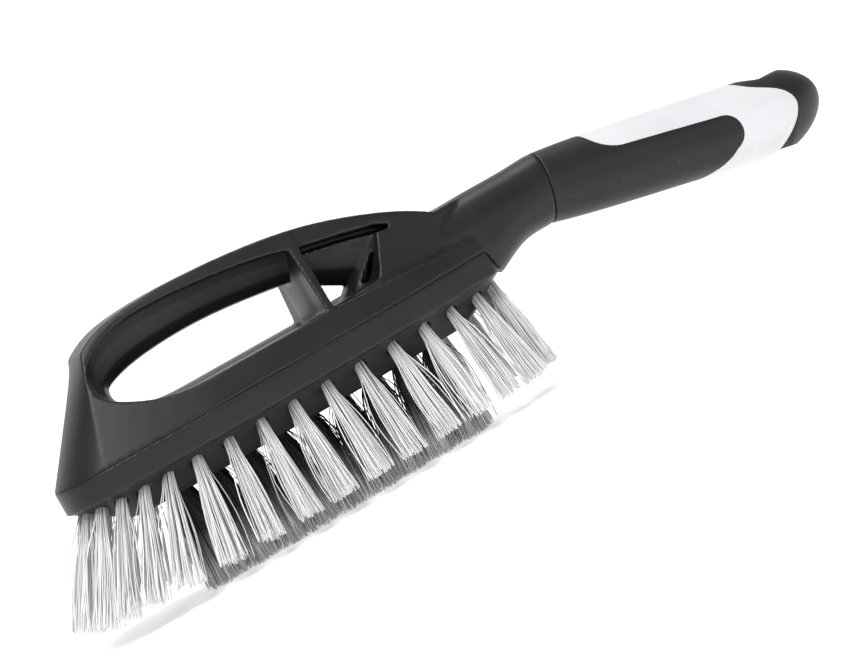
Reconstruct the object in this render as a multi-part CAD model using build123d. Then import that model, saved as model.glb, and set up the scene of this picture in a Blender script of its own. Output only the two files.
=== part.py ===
from build123d import *

import math
import os

# Wheel brush: a bow-handled head with flared tufts, a neck and a drooping grip.
# Drawn with x from the tip of the nose towards the grip, y to the brush's left, and z up from
# the bottom edge of the rim. At the end it is stood on its longest bristles, centred.

LENGTH = 319.6  # nose tip to end of grip
RIM_HEIGHT = 46.0  # bottom edge of the rim above the tips of the middle tufts
FAR = 60.0  # how far cutting shapes run past what they cut
NEAR = 4.0

# Head block: the boat-shaped base that holds the tufts
BLOCK_HEIGHT = 9.0
BLOCK_CORNER = (15.0, 22.0)  # where the blunt nose meets the side, x and half width
BLOCK_SIDE = [(50.0, 26.5), (90.0, 27.0), (125.0, 24.6), (150.0, 19.2)]
BLOCK_TAIL_CORNER = (170.5, 13.0)
BLOCK_TAIL = 176.5
KEEL_DROP = 11.0  # the underside bulges down to a flat keel
KEEL_LENGTH_SHARE = 0.78
KEEL_WIDTH_SHARE = 0.52
RIM_LEDGE = 1.0  # flat edge between the side wall and the sloping underside

# Frame: tapered sides and the bow over the finger opening
FRAME_TOP = 56.0
TOP_TIP = 35.5
TOP_CORNER = (31.5, 10.5)
TOP_SIDE = [(55.0, 13.2), (90.0, 14.0), (120.0, 13.5), (145.0, 12.5)]
TOP_TAIL_CORNER = (168.0, 8.5)
TOP_TAIL = 178.0
BOW_CREST = [(20.0, 38.0), (29.0, 46.8), (38.0, 50.9), (49.0, 52.7), (62.0, 53.3)]
BOW_FALL = [(79.0, 52.8), (99.0, 50.9), (117.6, 47.5), (135.0, 42.2), (150.0, 36.2), (162.0, 29.8)]
# Top edge of the head's side wall behind the strut, where the bow and neck step inwards
SHOULDER = [(111.0, 18.4), (125.0, 17.5), (137.0, 16.7), (153.0, 15.6), (180.0, 13.8)]
SHOULDER_STEP = 3.4

# Finger opening, at the outer edge of the bow and at its middle plane
OPENING_EDGE_TOP = [(26.0, 38.0), (31.0, 44.6), (39.0, 48.4), (55.0, 49.9), (75.0, 48.6)]
OPENING_EDGE_REAR = [(93.0, 46.3), (107.5, 43.0), (107.5, 18.2)]
OPENING_EDGE_FRONT = [(60.0, 18.4), (45.0, 20.2), (34.0, 24.6), (26.5, 30.5)]
OPENING_MID_TOP = [(33.0, 31.0), (37.5, 32.9), (44.0, 34.5), (58.0, 36.0), (75.0, 36.0)]
OPENING_MID_REAR = [(92.0, 34.4), (106.5, 32.4), (106.5, 16.4)]
OPENING_MID_FRONT = [(60.0, 16.6), (49.0, 17.8), (39.0, 21.4), (33.0, 26.3)]
BOW_HALF_WIDTH = 13.6
# Half widths across the bow bar, each with its share of the way from edge to middle outline
BAR_STEPS = [(11.2, 0.26), (8.2, 0.70), (3.4, 0.96)]

# Window behind the strut, at the outer edge and at the middle plane
WINDOW_EDGE = [(110.4, 18.6), (111.4, 42.2), (128.0, 38.6), (139.0, 34.2), (132.8, 22.0), (130.6, 19.0)]
WINDOW_MID = [(110.4, 16.9), (110.4, 29.3), (117.0, 25.7), (124.3, 21.8), (121.0, 19.2), (118.2, 16.9)]
# Slot under the edge of the bow, from the strut to a point behind the window
SLOT = [(112.0, 42.0), (126.0, 39.2), (139.8, 36.2), (148.6, 31.9), (139.3, 33.4), (126.0, 36.8), (112.0, 39.4)]
SLOT_FLOOR = 7.6  # half thickness left between the two slots
# Pocket in the window's rear wall, either side of a web
POCKET = [(138.0, 32.0), (132.6, 21.8), (130.5, 19.6), (126.0, 19.6), (136.0, 29.6)]
POCKET_FLOOR = 4.2  # half thickness of the web

# Neck and grip, as rounded sections: x, z of the centre, height, width, lean in degrees
NECK_SECTIONS = [
    (132.0, 25.5, 32.0, 24.0, 0.0),
    (150.0, 17.6, 33.0, 25.0, 0.0),
    (162.0, 13.5, 33.6, 25.2, 0.0),
    (174.0, 13.9, 32.6, 25.0, 0.0),
    (185.0, 16.1, 28.4, 24.8, 4.0),
    (195.0, 17.5, 26.0, 24.6, 8.0),
    (205.2, 17.8, 26.2, 24.6, 11.0),
]
SECTION_ROUND = 0.47  # corner radius as a share of the smaller side
# Grip sections: distance from the seam, height, width
GRIP_SECTIONS = [
    (0.0, 26.2, 24.6),
    (30.0, 28.8, 25.6),
    (66.0, 29.8, 27.4),
    (100.0, 30.8, 28.8),
    (120.0, 30.4, 28.6),
]
GRIP_LEAN = 11.0
GRIP_START = (205.2, 17.8)
# Rounded end of the grip, as the upper outline of a dome about its level centre line
GRIP_DOME = [(296.0, 16.4), (304.0, 14.8), (310.5, 12.2), (315.5, 8.6), (318.6, 4.6), (319.6, 0.2)]
SEAM_GAP = 0.3  # groove between neck and grip
SEAM_DEPTH = 0.5

TANG_LENGTH = 42.0
TANG_ROOT = 2.0  # part of the tang that starts inside the neck
TANG_HEIGHT = 14.0
TANG_WIDTH = 12.0
TANG_FIT = 0.15

HANG_RADIUS = 6.5
HANG_ALONG = 94.0  # from the seam, along the grip
HANG_MOUTH = 2.4  # depth of the flared mouth
GRIP_HALF_HEIGHT = 15.2  # at the hanging hole
INLAY_DEPTH = 2.4
# Side outline of the dark panel that the inlay wraps round
PANEL_TOP = [(226.0, 36.0), (226.4, 27.5), (228.4, 23.0), (232.0, 19.6), (238.0, 17.2)]
PANEL_TONGUE = [(274.5, 9.0), (280.6, 1.8), (275.5, -4.6)]
PANEL_LOW = [(266.0, -7.9), (252.0, -8.6), (244.0, -14.0)]
CAP_EDGE = [(287.0, 22.0), (289.2, 15.6), (293.5, 11.8), (299.0, 8.4), (303.0, 4.4)]
CAP_EDGE_LOW = [(304.2, 0.4), (302.0, -4.5), (297.7, -8.9), (293.3, -12.3), (286.0, -18.5)]

# Tufts
TUFT_RADIUS = 2.3
TUFT_SEAT = 6.5  # depth of the hole that holds it
TUFT_STRAIGHT = 2.5  # bound part below the underside, before the bundle spreads
TIP_RADIUS_MOST = 6.0
TIP_GAP = 0.4  # left between the tips of neighbours
RING_INSET = 5.2
RING_TIP_Z = -37.6
RING_SIDE_LEAN = 9.5  # how far the tips stand out sideways from the roots
# Distance along the ring from each tuft to the next, from the first one beside the nose tip
RING_PITCHES = [7.5, 7.5, 8.0, 9.0, 10.5, 12.0, 12.2, 12.4, 12.8, 13.2, 13.4, 13.4, 12.4, 12.0, 11.0]
RING_END_GAP = 4.2  # from the nose tip to the first tuft, and from the last one to the tail tip
# How far the tips lean along the brush, by the place of the root
LEANS = [(0.0, -18.0), (10.0, -19.0), (20.0, -17.0), (32.0, -14.0), (42.0, -9.5), (54.0, -6.5)]
LEANS_REAR = [(66.0, -3.3), (80.0, -0.8), (92.0, 0.3), (120.0, 2.0), (145.0, 4.0), (180.0, 6.8)]
ROW_OFFSET = 6.4
ROW_FLARE = 4.0
ROW_COUNT = 9
ROW_START = {"inner_right": 36.5, "inner_left": 40.5}
ROW_PITCH = 12.7
ROW_TAPER = 0.35  # how far the inner rows close in at the ends
END_FACING = 0.75  # a ring tuft that faces the nose or tail this much belongs to that group
STAPLE_SIZE = (3.6, 1.0, 0.5)


def side_view(points):
    """Points of the side view, as vectors in the middle plane."""
    return [Vector(x, 0, z) for x, z in points]


def plan_wire(tip, corner, side, tail_corner, tail, z, inset=0.0):
    """Closed plan outline: a blunt nose, two mirrored sides and a blunt tail."""
    front = Vector(corner[0] + inset * 0.6, corner[1] - inset, z)
    run = [Vector(x, half - inset, z) for x, half in side]
    back = Vector(tail_corner[0] - inset * 0.6, tail_corner[1] - inset, z)
    left = [front, *run, back]
    right = [Vector(p.X, -p.Y, z) for p in left]
    nose = ThreePointArc(right[0], Vector(tip + inset, 0, z), left[0])
    stern = ThreePointArc(left[-1], Vector(tail - inset, 0, z), right[-1])
    return Wire([nose, Spline(*left), stern, Spline(*reversed(right))])


def block_wire(z, inset=0.0):
    return plan_wire(0, BLOCK_CORNER, BLOCK_SIDE, BLOCK_TAIL_CORNER, BLOCK_TAIL, z, inset)


def top_wire():
    return plan_wire(TOP_TIP, TOP_CORNER, TOP_SIDE, TOP_TAIL_CORNER, TOP_TAIL, FRAME_TOP)


def shrunk(x):
    """A place along the keel, from the matching place along the rim."""
    middle = BLOCK_TAIL / 2
    return middle + (x - middle) * KEEL_LENGTH_SHARE


def keel_wire():
    """The flat keel of the underside, a slimmer and shorter copy of the rim."""
    corner, *side, tail_corner = [
        (shrunk(x), half * KEEL_WIDTH_SHARE) for x, half in [BLOCK_CORNER, *BLOCK_SIDE, BLOCK_TAIL_CORNER]
    ]
    return plan_wire(shrunk(0), corner, side, tail_corner, shrunk(BLOCK_TAIL), -KEEL_DROP)


def block_shape():
    """The block with its faceted underside, before it is drilled."""
    wall = extrude(Face(block_wire(0)), BLOCK_HEIGHT, dir=(0, 0, 1))
    bulge = loft([Face(block_wire(0, RIM_LEDGE)), Face(keel_wire())], ruled=True)
    return wall + bulge


def slab(outline, half_width=FAR):
    """A side-view outline spread both ways from the middle plane."""
    return extrude(Face(outline), half_width, dir=(0, 1, 0), both=True)


def below_bow():
    """Everything under the crest line of the bow."""
    crest = Spline(*side_view(BOW_CREST + BOW_FALL))
    start = BOW_CREST[0]
    end = BOW_FALL[-1]
    rest = Polyline(*side_view([
        end, (end[0] + FAR, end[1]), (end[0] + FAR, -FAR), (-FAR, -FAR), (-FAR, start[1]), start,
    ]))
    return slab(Wire([crest, *rest.edges()]))


def above_shoulder():
    """Everything above the shoulder line, behind the strut."""
    first = SHOULDER[0]
    last = SHOULDER[-1]
    top = FRAME_TOP + FAR
    outline = [*SHOULDER, (last[0] + FAR, last[1]), (last[0] + FAR, top), (first[0], top)]
    return slab(Wire(Polyline(*side_view(outline), close=True).edges()))


def head_shape():
    """The tapered head with its bow still solid, stepped in above the shoulder."""
    outer = loft([Face(block_wire(BLOCK_HEIGHT)), Face(top_wire())], ruled=True)
    inner = loft([Face(block_wire(BLOCK_HEIGHT, SHOULDER_STEP)), Face(top_wire())], ruled=True)
    above = above_shoulder()
    return ((outer - above) + (inner & above)) & below_bow()


def mixed(edge, middle, share):
    return [(a[0] + (b[0] - a[0]) * share, a[1] + (b[1] - a[1]) * share) for a, b in zip(edge, middle)]


def opening_wire(y, share):
    """Outline of the finger opening at one distance from the middle plane."""
    top = mixed(OPENING_EDGE_TOP, OPENING_MID_TOP, share)
    rear = mixed(OPENING_EDGE_REAR, OPENING_MID_REAR, share)
    front = mixed(OPENING_EDGE_FRONT, OPENING_MID_FRONT, share)
    roof = Spline(*[Vector(x, y, z) for x, z in top + rear[:2]])
    back = Line(Vector(rear[1][0], y, rear[1][1]), Vector(rear[2][0], y, rear[2][1]))
    floor = Line(Vector(rear[2][0], y, rear[2][1]), Vector(front[0][0], y, front[0][1]))
    toe = Spline(*[Vector(x, y, z) for x, z in front + top[:1]])
    return Wire([roof, back, floor, toe])


def window_wire(y, share):
    """Outline of the window behind the strut at one distance from the middle plane."""
    points = mixed(WINDOW_EDGE, WINDOW_MID, share)
    return Wire(Polyline(*[Vector(x, y, z) for x, z in points], close=True).edges())


def through_cut(wire_at):
    """A hole through the bow that narrows towards the middle plane, in facets."""
    steps = [(BOW_HALF_WIDTH, 0.0), *BAR_STEPS, (0.0, 1.0)]
    cut = None
    for side in (-1, 1):
        outer = extrude(Face(wire_at(side * BOW_HALF_WIDTH, 0.0)), FAR, dir=(0, side, 0))
        cut = outer if cut is None else cut + outer
        for (y_out, share_out), (y_in, share_in) in zip(steps, steps[1:]):
            faces = [Face(wire_at(side * y_out, share_out)), Face(wire_at(side * y_in, share_in))]
            cut = cut + loft(faces, ruled=True)
    return cut


def side_recess(outline, floor):
    """A recess cut in from each side, down to a floor beside the middle plane."""
    face = Face(Wire(Polyline(*side_view(outline), close=True).edges()))
    left = extrude(face.moved(Location((0, floor, 0))), FAR, dir=(0, 1, 0))
    right = extrude(face.moved(Location((0, -floor, 0))), FAR, dir=(0, -1, 0))
    return left + right


def leaning_plane(x, z, lean):
    """A plane across the neck or grip, square to an axis that falls by the lean."""
    angle = math.radians(lean)
    return Plane(origin=(x, 0, z), x_dir=(0, 1, 0), z_dir=(math.cos(angle), 0, -math.sin(angle)))


def rounded_section(x, z, height, width, lean):
    corner = min(width, height) * SECTION_ROUND
    return leaning_plane(x, z, lean) * RectangleRounded(width, height, corner)


def neck_shape():
    return loft([rounded_section(*section) for section in NECK_SECTIONS])


def seam_groove():
    """The fine groove round the neck's end, where the grip starts."""
    x, z, height, width, lean = NECK_SECTIONS[-1]
    outer = rounded_section(x, z, height + NEAR, width + NEAR, lean)
    inner = rounded_section(x, z, height - 2 * SEAM_DEPTH, width - 2 * SEAM_DEPTH, lean)
    return extrude(outer, -SEAM_GAP) - extrude(inner, -SEAM_GAP)


def grip_axis_point(along):
    lean = math.radians(GRIP_LEAN)
    return GRIP_START[0] + along * math.cos(lean), GRIP_START[1] - along * math.sin(lean)


def grip_loft(thinner=0.0):
    """The grip's length before its end is rounded, or its core under the inlay."""
    sections = []
    for along, height, width in GRIP_SECTIONS:
        x, z = grip_axis_point(along)
        sections.append(rounded_section(x, z, height - 2 * thinner, width - 2 * thinner, GRIP_LEAN))
    return loft(sections)


def grip_shape():
    """The whole outer form of the grip, with its rounded end."""
    dome = Spline(*side_view(GRIP_DOME))
    start = GRIP_DOME[0]
    tip = GRIP_DOME[-1]
    front = GRIP_START[0] - FAR
    rest = Polyline(*side_view([tip, (front, tip[1]), (front, FAR), (start[0], FAR), start]))
    round_end = revolve(Face(Wire([dome, *rest.edges()])), Axis((tip[0], 0, tip[1]), (1, 0, 0)))
    return grip_loft() & round_end


def tang_shape(fit=0.0):
    """The neck's tang inside the grip."""
    x, z = grip_axis_point(TANG_LENGTH / 2 - TANG_ROOT)
    sizes = (size + 2 * fit for size in (TANG_WIDTH, TANG_HEIGHT, TANG_LENGTH))
    return leaning_plane(x, z, GRIP_LEAN) * Box(*sizes)


def hang_hole():
    """The hanging hole, square to the grip's axis, with a flared mouth at each end."""
    x, z = grip_axis_point(HANG_ALONG)
    lean = math.radians(GRIP_LEAN)
    wide = HANG_RADIUS + HANG_MOUTH
    half = Cylinder(HANG_RADIUS, FAR)
    for side in (1, -1):
        flare = Cone(HANG_RADIUS, wide, HANG_MOUTH) if side > 0 else Cone(wide, HANG_RADIUS, HANG_MOUTH)
        half = half + Pos(0, 0, side * (GRIP_HALF_HEIGHT - HANG_MOUTH / 2)) * flare
        half = half + Pos(0, 0, side * (GRIP_HALF_HEIGHT + NEAR / 2)) * Cylinder(wide, NEAR)
    return Plane(origin=(x, 0, z), z_dir=(math.sin(lean), 0, math.cos(lean))) * half


def panel_region():
    """Side-view region of the dark panel, from the seam to its tongue."""
    shoulder = Spline(*side_view(PANEL_TOP))
    top = Line(*side_view([PANEL_TOP[-1], PANEL_TONGUE[0]]))
    tongue = ThreePointArc(*side_view(PANEL_TONGUE))
    low = Spline(*side_view([PANEL_TONGUE[-1], *PANEL_LOW]))
    seam = GRIP_START[0] - NEAR
    start = PANEL_TOP[0]
    end = PANEL_LOW[-1]
    rest = Polyline(*side_view([end, (end[0], -FAR), (seam, -FAR), (seam, FAR), (start[0], FAR), start]))
    return slab(Wire([shoulder, top, tongue, low, *rest.edges()]))


def cap_region():
    """Side-view region of the dark end of the grip, with the hanging hole in it."""
    points = CAP_EDGE + CAP_EDGE_LOW
    end = points[-1]
    start = points[0]
    rear = LENGTH + FAR
    rest = Polyline(*side_view([end, (end[0], -FAR), (rear, -FAR), (rear, FAR), (start[0], FAR), start]))
    return slab(Wire([Spline(*side_view(points)), *rest.edges()]))


def half_ring():
    """Points and outward directions along the left half of the ring of tufts, nose to tail."""
    keep = Pos(BLOCK_TAIL / 2, LENGTH / 2, 0) * Box(LENGTH, LENGTH, NEAR)
    half = Wire((block_wire(0, RING_INSET) & keep).edges())
    length = 2 * RING_END_GAP + sum(RING_PITCHES)
    place = RING_END_GAP
    for pitch in [*RING_PITCHES, 0.0]:
        point = half.position_at(place / length)
        tangent = half.tangent_at(place / length)
        outward = Vector(-tangent.Y, tangent.X, 0)
        if outward.Y < 0:
            outward = outward * -1
        yield point, outward.normalized()
        place = place + pitch


def underside_z(x, y, shape):
    """Height of the underside at a place in the plan."""
    probe = Edge.make_line((x, y, -FAR), (x, y, BLOCK_HEIGHT / 2))
    return min(v.Z for e in (shape & probe).edges() for v in e.vertices())


def lean_at(x):
    """How far the tips lean along the brush, for a root at x."""
    table = LEANS + LEANS_REAR
    for (x_low, low), (x_high, high) in zip(table, table[1:]):
        if x <= x_high:
            return low + (high - low) * (x - x_low) / (x_high - x_low)
    return table[-1][1]


def tuft_axes(shape):
    """Root point and tip point of every tuft, by the name of its group."""
    groups = {}
    for point, outward in half_ring():
        name = "nose" if outward.X < -END_FACING else "tail" if outward.X > END_FACING else None
        root_z = underside_z(point.X, point.Y, shape)
        for side in (1, -1):
            root = Vector(point.X, side * point.Y, root_z)
            tip_y = side * (point.Y + RING_SIDE_LEAN * outward.Y)
            tip = Vector(point.X + lean_at(point.X), tip_y, RING_TIP_Z)
            group = name or ("left" if side > 0 else "right")
            groups.setdefault(group, []).append((root, tip))
    for name, side in (("inner_left", 1), ("inner_right", -1)):
        for number in range(ROW_COUNT):
            x = ROW_START[name] + number * ROW_PITCH
            taper = 1 - ROW_TAPER * abs(x - BLOCK_TAIL / 2) / (BLOCK_TAIL / 2)
            y = side * ROW_OFFSET * taper
            root = Vector(x, y, underside_z(x, y, shape))
            drop = root.Z + RIM_HEIGHT - TIP_RADIUS_MOST * math.sin(math.radians(ROW_FLARE))
            tip = root + Vector(0, side * drop * math.tan(math.radians(ROW_FLARE)), -drop)
            groups.setdefault(name, []).append((root, tip))
    return groups


def tuft_places(shape):
    """Root point, direction, free length and tip radius of every tuft, by group."""
    groups = tuft_axes(shape)
    tips = [tip for axes in groups.values() for _, tip in axes]
    places = {}
    for name, axes in groups.items():
        for root, tip in axes:
            nearest = min((tip - other).length for other in tips if other is not tip)
            tip_radius = min(TIP_RADIUS_MOST, (nearest - TIP_GAP) / 2)
            axis = tip - root
            places.setdefault(name, []).append((root, axis.normalized(), axis.length, tip_radius))
    return places


def tuft_plane(root, direction):
    return Plane(origin=root, z_dir=direction)


def tuft_solid(root, direction, free, tip_radius):
    """One tuft: the bound root in its hole, then a bundle that spreads to the tips."""
    plane = tuft_plane(root, direction)
    bound = TUFT_SEAT + TUFT_STRAIGHT
    spread = free - TUFT_STRAIGHT
    seated = plane * Pos(0, 0, TUFT_STRAIGHT - bound / 2) * Cylinder(TUFT_RADIUS, bound)
    bundle = plane * Pos(0, 0, TUFT_STRAIGHT + spread / 2) * Cone(TUFT_RADIUS, tip_radius, spread)
    return seated + bundle


def tuft_hole(root, direction):
    """The drilled hole, with room for the staple at its bottom."""
    depth = TUFT_SEAT + STAPLE_SIZE[2]
    plane = tuft_plane(root, direction)
    return plane * Pos(0, 0, (NEAR - depth) / 2) * Cylinder(TUFT_RADIUS, depth + NEAR)


def staple_solid(root, direction):
    """The flat wire that anchors the fold of a tuft at the bottom of its hole."""
    plane = tuft_plane(root, direction)
    return plane * Pos(0, 0, -TUFT_SEAT - STAPLE_SIZE[2] / 2) * Box(*STAPLE_SIZE)


def frame_shape(block):
    """The bow, strut and neck in one piece, with the tang that the grip is pushed on to."""
    frame = head_shape() + neck_shape()
    frame = frame - through_cut(opening_wire) - through_cut(window_wire)
    frame = frame - side_recess(SLOT, SLOT_FLOOR) - side_recess(POCKET, POCKET_FLOOR)
    below_rim = Pos(BLOCK_TAIL - LENGTH / 2, 0, -FAR / 2) * Box(LENGTH, FAR * 2, FAR)
    frame = frame - block - below_rim - seam_groove()
    return frame + tang_shape()


def build():
    block = block_shape()
    groups = tuft_places(block)
    drilled = block
    for tufts in groups.values():
        for root, direction, *_ in tufts:
            drilled = drilled - tuft_hole(root, direction)

    grip = grip_shape() - hang_hole()
    inlay = grip - grip_loft(INLAY_DEPTH) - panel_region() - cap_region()
    nodes = {
        "bristle_block": drilled,
        "bow_frame": frame_shape(block),
        "grip_body": grip - inlay - tang_shape(TANG_FIT),
        "grip_inlay": inlay,
    }
    for name, tufts in groups.items():
        nodes["tufts_" + name] = Compound([tuft_solid(*tuft) for tuft in tufts])
        nodes["staples_" + name] = Compound([staple_solid(*tuft[:2]) for tuft in tufts])
    return nodes


os.makedirs("parts", exist_ok=True)
parts = build()
outline = Compound(list(parts.values())).bounding_box()
middle = outline.center()
print("outline", outline.size, "moved by", -middle.X, -middle.Y, -outline.min.Z)
for node, shape in parts.items():
    placed = Pos(-middle.X, -middle.Y, -outline.min.Z) * shape
    export_step(placed, "parts/" + node + ".step")
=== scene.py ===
import math
import random

import bpy
import bmesh
from mathutils import Matrix, Vector


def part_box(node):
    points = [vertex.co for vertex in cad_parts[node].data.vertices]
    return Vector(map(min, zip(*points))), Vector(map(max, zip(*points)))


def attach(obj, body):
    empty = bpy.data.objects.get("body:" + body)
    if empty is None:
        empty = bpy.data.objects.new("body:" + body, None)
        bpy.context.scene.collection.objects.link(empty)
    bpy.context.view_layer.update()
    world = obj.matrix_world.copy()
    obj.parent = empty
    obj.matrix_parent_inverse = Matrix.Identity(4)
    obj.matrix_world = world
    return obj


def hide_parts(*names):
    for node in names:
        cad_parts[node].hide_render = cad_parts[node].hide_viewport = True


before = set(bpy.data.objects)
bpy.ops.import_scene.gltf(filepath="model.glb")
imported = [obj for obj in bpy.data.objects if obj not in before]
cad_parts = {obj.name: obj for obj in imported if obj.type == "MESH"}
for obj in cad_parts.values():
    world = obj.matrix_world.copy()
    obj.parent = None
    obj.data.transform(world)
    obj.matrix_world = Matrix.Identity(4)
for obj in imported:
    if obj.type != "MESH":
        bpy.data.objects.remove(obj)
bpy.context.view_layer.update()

MM = 0.001
BODY = "root"
FACE_TARGET = 92000  # faces aimed for in a softened shell; the remesh gives up to a third more
FINEST_VOXEL = 0.3 * MM
WELD = 0.002 * MM  # corners closer than this are one corner
STRANDS = 74  # filaments in an outer tuft
STRAYS = 5  # of these, the ones that bow out of the bundle
# The inner tufts are denser and wider than their CAD solids, and spread sooner, to close the gaps between
# the outer ones in the main view.
INNER_STRANDS = 170
INNER_WIDENING = 1.45
INNER_SPLAY = 0.5
KEEL_DROP = 11 * MM  # from the rim down to the keel
STRAND_SIDES = 5
STRAND_STEPS = 8
STRAND_RADIUS = 0.2 * MM
BOUND_LENGTH = 8.2 * MM  # from the root to where a filament starts to spread
LOWEST = 0.25 * MM  # no filament goes lower than this above the floor
END_SLICE = 0.6 * MM  # points this close to an end of a tuft solid belong to that end
FLOOR_GAP = 0.05 * MM  # between the floor and the lowest point of the CAD


# ---------------------------------------------------------------- materials

def new_material(name):
    material = bpy.data.materials.new(name)
    material.use_nodes = True
    tree = material.node_tree
    return material, tree, tree.nodes["Principled BSDF"]


def noise(tree, scale, detail=3.0, stretch=(1, 1, 1)):
    """A noise texture in the piece's own metres, its value from 0 to 1."""
    place = tree.nodes.new("ShaderNodeTexCoord")
    mapping = tree.nodes.new("ShaderNodeMapping")
    mapping.inputs["Scale"].default_value = stretch
    texture = tree.nodes.new("ShaderNodeTexNoise")
    texture.inputs["Scale"].default_value = scale
    texture.inputs["Detail"].default_value = detail
    tree.links.new(place.outputs["Object"], mapping.inputs["Vector"])
    tree.links.new(mapping.outputs["Vector"], texture.inputs["Vector"])
    return texture.outputs["Fac"]


def ramp(tree, value, stops):
    """Colours or greys picked by a value."""
    node = tree.nodes.new("ShaderNodeValToRGB")
    elements = node.color_ramp.elements
    while len(elements) < len(stops):
        elements.new(0.5)
    for element, (place, colour) in zip(elements, stops):
        element.position = place
        element.color = (*colour, 1)
    tree.links.new(value, node.inputs["Fac"])
    return node.outputs["Color"]


def grey(value):
    return (value, value, value)


def remap(tree, value, low, high):
    node = tree.nodes.new("ShaderNodeMapRange")
    node.inputs["To Min"].default_value = low
    node.inputs["To Max"].default_value = high
    tree.links.new(value, node.inputs["Value"])
    return node.outputs["Result"]


def bump(tree, shader, layers):
    """Stacked bump layers, each a height value, a strength and a depth in metres."""
    last = None
    for value, strength, depth in layers:
        node = tree.nodes.new("ShaderNodeBump")
        node.inputs["Strength"].default_value = strength
        node.inputs["Distance"].default_value = depth
        tree.links.new(value, node.inputs["Height"])
        if last is not None:
            tree.links.new(last, node.inputs["Normal"])
        last = node.outputs["Normal"]
    tree.links.new(last, shader.inputs["Normal"])


def moulded(name, stops, roughness, gloss, grain, wear):
    """Moulded plastic: a fine grain, uneven sheen and slightly rubbed edges."""
    material, tree, shader = new_material(name)
    base = ramp(tree, noise(tree, 45, 5), stops)
    geometry = tree.nodes.new("ShaderNodeNewGeometry")
    edge = ramp(tree, geometry.outputs["Pointiness"], [(0.52, grey(0.0)), (0.62, grey(1.0))])
    rubbed = tree.nodes.new("ShaderNodeMath")
    rubbed.operation = "MULTIPLY"
    tree.links.new(edge, rubbed.inputs[0])
    tree.links.new(remap(tree, noise(tree, 160, 4), 0.1, 0.9), rubbed.inputs[1])
    mix = tree.nodes.new("ShaderNodeMix")
    mix.data_type = "RGBA"
    tree.links.new(rubbed.outputs[0], mix.inputs["Factor"])
    tree.links.new(base, mix.inputs["A"])
    mix.inputs["B"].default_value = (*wear, 1)
    tree.links.new(mix.outputs["Result"], shader.inputs["Base Color"])
    tree.links.new(remap(tree, noise(tree, 90, 4), *roughness), shader.inputs["Roughness"])
    shader.inputs["Specular IOR Level"].default_value = gloss
    bump(tree, shader, [
        (noise(tree, 2600, 2), grain, 0.05 * MM),
        (noise(tree, 60, 2), 0.08, 0.3 * MM),
    ])
    return material


def bristle_material(name, tones, shade):
    """Filament: each strand its own grey, darkened towards the root by painted shade."""
    material, tree, shader = new_material(name)
    strand = tree.nodes.new("ShaderNodeAttribute")
    strand.attribute_name = "strand"
    along = tree.nodes.new("ShaderNodeAttribute")
    along.attribute_name = "along"
    own = ramp(tree, strand.outputs["Fac"], tones)
    # painted shade: the filament colour darkens towards the root, where shade falls under the head
    painted_root_shade = ramp(tree, along.outputs["Fac"], shade)
    mix = tree.nodes.new("ShaderNodeMix")
    mix.data_type = "RGBA"
    mix.blend_type = "MULTIPLY"
    mix.inputs["Factor"].default_value = 1.0
    tree.links.new(own, mix.inputs["A"])
    tree.links.new(painted_root_shade, mix.inputs["B"])
    tree.links.new(mix.outputs["Result"], shader.inputs["Base Color"])
    tree.links.new(remap(tree, noise(tree, 700, 2), 0.32, 0.55), shader.inputs["Roughness"])
    shader.inputs["Specular IOR Level"].default_value = 0.45
    bump(tree, shader, [(noise(tree, 3000, 2, (1, 1, 0.15)), 0.2, 0.03 * MM)])
    return material


def wire_material():
    material, tree, shader = new_material("staple_wire")
    tree.links.new(ramp(tree, noise(tree, 900, 3), [
        (0.3, (0.42, 0.41, 0.39)), (0.7, (0.62, 0.61, 0.59)),
    ]), shader.inputs["Base Color"])
    shader.inputs["Metallic"].default_value = 1.0
    tree.links.new(remap(tree, noise(tree, 1500, 2), 0.25, 0.5), shader.inputs["Roughness"])
    bump(tree, shader, [(noise(tree, 2500, 2), 0.2, 0.03 * MM)])
    return material


# ---------------------------------------------------------------- shells

def merged(source):
    """A copy of a node's mesh in the row frame, with its corners joined up."""
    mesh = source.data.copy()
    mesh.transform(source.matrix_world)
    work = bmesh.new()
    work.from_mesh(mesh)
    bmesh.ops.remove_doubles(work, verts=work.verts, dist=WELD)
    work.to_mesh(mesh)
    work.free()
    mesh.materials.clear()
    return mesh


def softened(node, name, rounds, material):
    """The node's shape with moulded, rounded edges, standing in for the node."""
    mesh = merged(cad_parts[node])
    area = sum(face.area for face in mesh.polygons)
    ob = bpy.data.objects.new(name, mesh)
    bpy.context.scene.collection.objects.link(ob)
    remesh = ob.modifiers.new("skin", "REMESH")
    remesh.mode = "VOXEL"
    remesh.voxel_size = max(math.sqrt(area / FACE_TARGET), FINEST_VOXEL)
    smooth = ob.modifiers.new("round", "SMOOTH")
    smooth.factor = 0.5
    smooth.iterations = rounds
    bpy.context.view_layer.update()
    graph = bpy.context.evaluated_depsgraph_get()
    final = bpy.data.meshes.new_from_object(ob.evaluated_get(graph))
    ob.modifiers.clear()
    ob.data = final
    final.materials.clear()
    final.materials.append(material)
    final.polygons.foreach_set("use_smooth", [True] * len(final.polygons))
    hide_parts(node)
    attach(ob, BODY)
    return ob


# ---------------------------------------------------------------- tufts

def loose_parts(mesh):
    """The separate solids of a mesh, as lists of points."""
    parent = list(range(len(mesh.vertices)))

    def top(i):
        while parent[i] != i:
            parent[i] = parent[parent[i]]
            i = parent[i]
        return i

    for edge in mesh.edges:
        a, b = (top(i) for i in edge.vertices)
        parent[a] = b
    parts = {}
    for vertex in mesh.vertices:
        parts.setdefault(top(vertex.index), []).append(vertex.co.copy())
    return list(parts.values())


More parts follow.
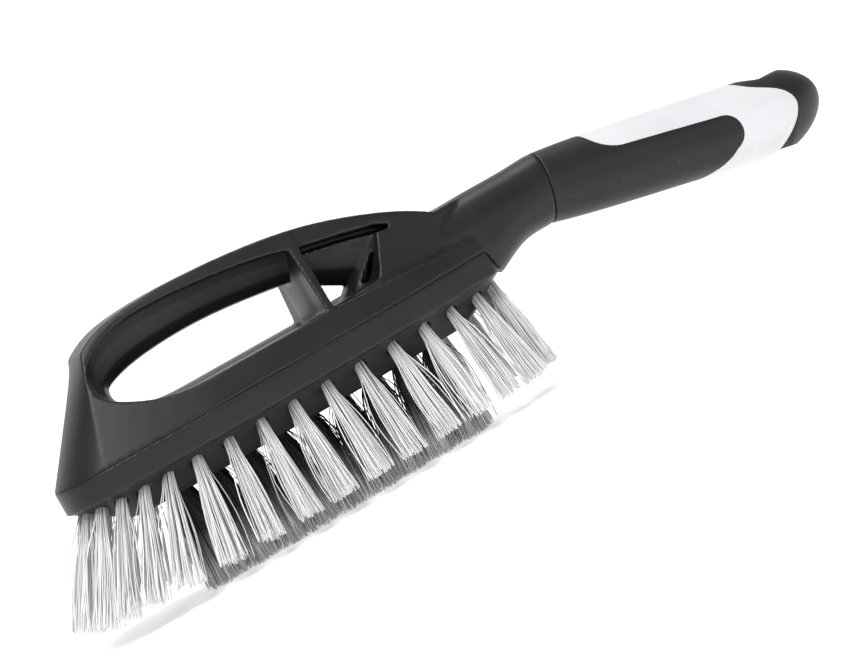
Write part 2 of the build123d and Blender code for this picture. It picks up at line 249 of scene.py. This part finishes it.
def tuft_ends(points):
    """Root end, tip end and both radii of one tuft solid."""
    high = max(points, key=lambda p: p.z)
    low = min(points, key=lambda p: p.z)
    axis = (low - high).normalized()
    for _ in range(6):
        reach = [p.dot(axis) for p in points]
        near, far = min(reach), max(reach)
        first = [p for p, r in zip(points, reach) if r < near + END_SLICE]
        last = [p for p, r in zip(points, reach) if r > far - END_SLICE]
        start = sum(first, Vector()) / len(first)
        end = sum(last, Vector()) / len(last)
        axis = (end - start).normalized()
    root_radius = sum((p - start).length for p in first) / len(first)
    tip_radius = sum((p - end).length for p in last) / len(last)
    return start, end, root_radius, tip_radius


def in_disc(rng, spread=0.5):
    turn = rng.random() * 2 * math.pi
    reach = rng.random() ** spread
    return reach * math.cos(turn), reach * math.sin(turn)


def strand_path(rng, start, end, root_radius, tip_radius, stray, splay):
    """Points down one filament, with a slight curl and its own cut length. A splay under 1 spreads sooner."""
    axis = end - start
    length = axis.length
    axis = axis / length
    side = axis.cross(Vector((0, 1, 0))).normalized()
    other = axis.cross(side)
    u, v = in_disc(rng)
    top = root_radius * 0.86
    spread = tip_radius * rng.uniform(0.86, 1.12)
    if stray:
        spread = tip_radius * rng.uniform(1.1, 1.45)
        u, v = in_disc(rng, 0.12)
    jitter_u, jitter_v = (rng.gauss(0, 0.11) for _ in range(2))
    bow = rng.gauss(0, 0.55) * MM if not stray else rng.uniform(1.2, 3.2) * MM
    bow_turn = rng.random() * 2 * math.pi
    if stray:
        bow_turn = math.atan2(v, u)
    cut = length + rng.uniform(-1.7, 0.2) * MM
    wave = rng.gauss(0, 0.16) * MM
    wave_turn = rng.random() * 2 * math.pi
    points = []
    for step in range(STRAND_STEPS + 1):
        t = step / STRAND_STEPS
        down = cut * t
        open_share = max(0.0, (down - BOUND_LENGTH) / (length - BOUND_LENGTH)) ** splay
        curl = math.sin(math.pi * open_share) * bow
        ripple = math.sin(3 * math.pi * open_share) * wave
        a = u * top + (u * (spread - top) + jitter_u * tip_radius) * open_share
        b = v * top + (v * (spread - top) + jitter_v * tip_radius) * open_share
        a += math.cos(bow_turn) * curl + math.cos(wave_turn) * ripple
        b += math.sin(bow_turn) * curl + math.sin(wave_turn) * ripple
        points.append((start + axis * down + side * a + other * b, t))
    return points


def add_tube(points, radius, vertices, faces, alongs):
    """A thin closed tube along the points."""
    first = len(vertices)
    count = len(points)
    for index, (point, t) in enumerate(points):
        before = points[max(index - 1, 0)][0]
        after = points[min(index + 1, count - 1)][0]
        forward = (after - before).normalized()
        side = forward.cross(Vector((0, 1, 0.01))).normalized()
        other = forward.cross(side)
        for corner in range(STRAND_SIDES):
            turn = 2 * math.pi * corner / STRAND_SIDES
            vertices.append(point + (side * math.cos(turn) + other * math.sin(turn)) * radius)
            alongs.append(t)
    for ring in range(count - 1):
        for corner in range(STRAND_SIDES):
            a = first + ring * STRAND_SIDES + corner
            b = first + ring * STRAND_SIDES + (corner + 1) % STRAND_SIDES
            faces.append((a, a + STRAND_SIDES, b + STRAND_SIDES, b))
    last = first + (count - 1) * STRAND_SIDES
    faces.append(tuple(first + corner for corner in range(STRAND_SIDES)))
    faces.append(tuple(last + corner for corner in reversed(range(STRAND_SIDES))))


def bristles(node, seed, material):
    """All the filaments of one group of tufts, as one mesh."""
    rng = random.Random(seed)
    mesh = merged(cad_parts[node])
    vertices, faces, alongs, greys = [], [], [], []
    inner = "inner" in node
    count = INNER_STRANDS if inner else STRANDS
    widen = INNER_WIDENING if inner else 1.0
    splay = INNER_SPLAY if inner else 1.0
    for points in sorted(loose_parts(mesh), key=lambda part: part[0].x):
        start, end, root_radius, tip_radius = tuft_ends(points)
        for number in range(count):
            spread = tip_radius * widen
            path = strand_path(rng, start, end, root_radius, spread, number < STRAYS, splay)
            path = [(Vector((p.x, p.y, max(p.z, LOWEST))), t) for p, t in path]
            tone = min(max(rng.gauss(0.62, 0.26), 0), 1)
            before = len(vertices)
            add_tube(path, STRAND_RADIUS * rng.uniform(0.85, 1.2), vertices, faces, alongs)
            greys += [tone] * (len(vertices) - before)
    final = bpy.data.meshes.new(node)
    final.from_pydata([tuple(v) for v in vertices], [], faces)
    final.attributes.new("along", "FLOAT", "POINT").data.foreach_set("value", alongs)
    final.attributes.new("strand", "FLOAT", "POINT").data.foreach_set("value", greys)
    final.polygons.foreach_set("use_smooth", [len(face) == 4 for face in faces])
    final.materials.append(material)
    bpy.data.meshes.remove(mesh)
    ob = bpy.data.objects.new(node.replace("tufts", "bristles"), final)
    bpy.context.scene.collection.objects.link(ob)
    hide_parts(node)
    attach(ob, BODY)
    return ob


# ---------------------------------------------------------------- studio

def backdrop():
    """A pale floor under the tips, curving up into a wall far behind."""
    reach = 3.0
    bend = 0.8
    profile = [(-reach, 0.0), (reach - bend, 0.0)]
    for step in range(1, 13):
        turn = math.pi / 2 * step / 12
        profile.append((reach - bend + bend * math.sin(turn), bend - bend * math.cos(turn)))
    profile.append((reach, reach))
    vertices = [(side * 2 * reach, y, z - FLOOR_GAP) for y, z in profile for side in (-1, 1)]
    faces = [(2 * i, 2 * i + 1, 2 * i + 3, 2 * i + 2) for i in range(len(profile) - 1)]
    mesh = bpy.data.meshes.new("backdrop")
    mesh.from_pydata(vertices, [], faces)
    mesh.polygons.foreach_set("use_smooth", [True] * len(faces))
    material, tree, shader = new_material("backdrop_paper")
    paper = ramp(tree, noise(tree, 3, 2), [(0.0, grey(0.86)), (1.0, grey(0.9))])
    tree.links.new(paper, shader.inputs["Base Color"])
    shader.inputs["Roughness"].default_value = 0.9
    shader.inputs["Emission Color"].default_value = (1, 1, 1, 1)
    shader.inputs["Emission Strength"].default_value = 0.45
    mesh.materials.append(material)
    ob = bpy.data.objects.new("backdrop", mesh)
    bpy.context.scene.collection.objects.link(ob)


def softbox(name, place, aim, size, power):
    data = bpy.data.lights.new(name, "AREA")
    data.shape = "RECTANGLE"
    data.size, data.size_y = size
    data.energy = power
    ob = bpy.data.objects.new(name, data)
    ob.location = place
    ob.rotation_euler = (Vector(aim) - Vector(place)).to_track_quat("-Z", "Y").to_euler()
    bpy.context.scene.collection.objects.link(ob)


def studio():
    backdrop()
    world = bpy.data.worlds.new("studio")
    bpy.context.scene.world = world
    world.use_nodes = True
    background = world.node_tree.nodes["Background"]
    background.inputs["Color"].default_value = (1, 1, 1, 1)
    background.inputs["Strength"].default_value = 0.42
    softbox("key", (-0.5, -0.9, 1.1), (0, 0, 0.05), (0.7, 0.7), 22)
    softbox("top", (0.1, 0.3, 1.3), (0, 0, 0.05), (0.9, 0.5), 10)


def camera():
    low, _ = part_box("bristle_block")
    origin = Vector((low.x, 0, low.z + KEEL_DROP))
    azimuth, elevation, roll = (math.radians(v) for v in (16.8, 4.2, 28.8))
    distance = 915 * MM
    target = origin + Vector((141.7, 0, -5.7)) * MM
    flat = math.cos(elevation)
    look = Vector((math.sin(azimuth) * flat, math.cos(azimuth) * flat, -math.sin(elevation)))
    right = Vector((math.cos(azimuth), -math.sin(azimuth), 0))
    up = right.cross(look)
    rolled_right = right * math.cos(roll) - up * math.sin(roll)
    rolled_up = up * math.cos(roll) + right * math.sin(roll)
    data = bpy.data.cameras.new("camera")
    data.sensor_width = 36
    data.lens = 2592 / 850 * 36
    data.clip_end = 20
    ob = bpy.data.objects.new("camera", data)
    rotation = Matrix((rolled_right, rolled_up, -look)).transposed().to_4x4()
    ob.matrix_world = Matrix.Translation(target - look * distance) @ rotation
    bpy.context.scene.collection.objects.link(ob)
    bpy.context.scene.camera = ob


PALE_TONES = [(0.0, (0.38, 0.375, 0.37)), (0.35, (0.60, 0.60, 0.595)), (1.0, (0.78, 0.78, 0.78))]
# The pale filaments get painted shade too: darker towards the root, under the head and between the tufts.
PALE_SHADE = [(0.0, (0.3, 0.29, 0.28)), (0.18, (0.52, 0.51, 0.5)), (0.38, (0.9, 0.9, 0.895)), (1.0, (1, 1, 1))]
# The near-black upper half isn't the filament's own colour. It stands in for the deep shade between the tufts.
GREY_TONES = [(0.0, grey(0.24)), (0.5, grey(0.40)), (1.0, grey(0.62))]
GREY_SHADE = [(0.0, grey(0.03)), (0.5, grey(0.05)), (0.74, grey(0.45)), (0.88, grey(1.0))]
BLACK = [(0.3, (0.0070, 0.0072, 0.0080)), (0.7, (0.0105, 0.0107, 0.0116))]
SATIN = [(0.3, (0.0080, 0.0082, 0.0090)), (0.7, (0.0120, 0.0122, 0.0132))]
PALE = [(0.3, (0.50, 0.505, 0.52)), (0.7, (0.545, 0.55, 0.565))]
frame_black = moulded("frame_black", BLACK, (0.34, 0.46), 0.28, 0.22, (0.035, 0.035, 0.037))
grip_black = moulded("grip_black", SATIN, (0.40, 0.52), 0.28, 0.28, (0.035, 0.035, 0.037))
light_inlay = moulded("light_inlay", PALE, (0.40, 0.52), 0.4, 0.2, (0.74, 0.745, 0.76))
wire = wire_material()
filament = bristle_material("bristle_filament", PALE_TONES, PALE_SHADE)
grey_filament = bristle_material("bristle_filament_inner", GREY_TONES, GREY_SHADE)

softened("bow_frame", "moulded_frame", 3, frame_black)
softened("bristle_block", "moulded_block", 3, frame_black)
softened("grip_body", "moulded_grip", 3, grip_black)
softened("grip_inlay", "moulded_inlay", 2, light_inlay)
for seed, name in enumerate(sorted(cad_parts)):
    if name.startswith("tufts"):
        bristles(name, seed, grey_filament if "inner" in name else filament)
    elif name.startswith("staples"):
        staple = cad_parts[name]
        staple.data.materials.clear()
        staple.data.materials.append(wire)

studio()
camera()
bpy.context.scene.view_settings.view_transform = "Standard"
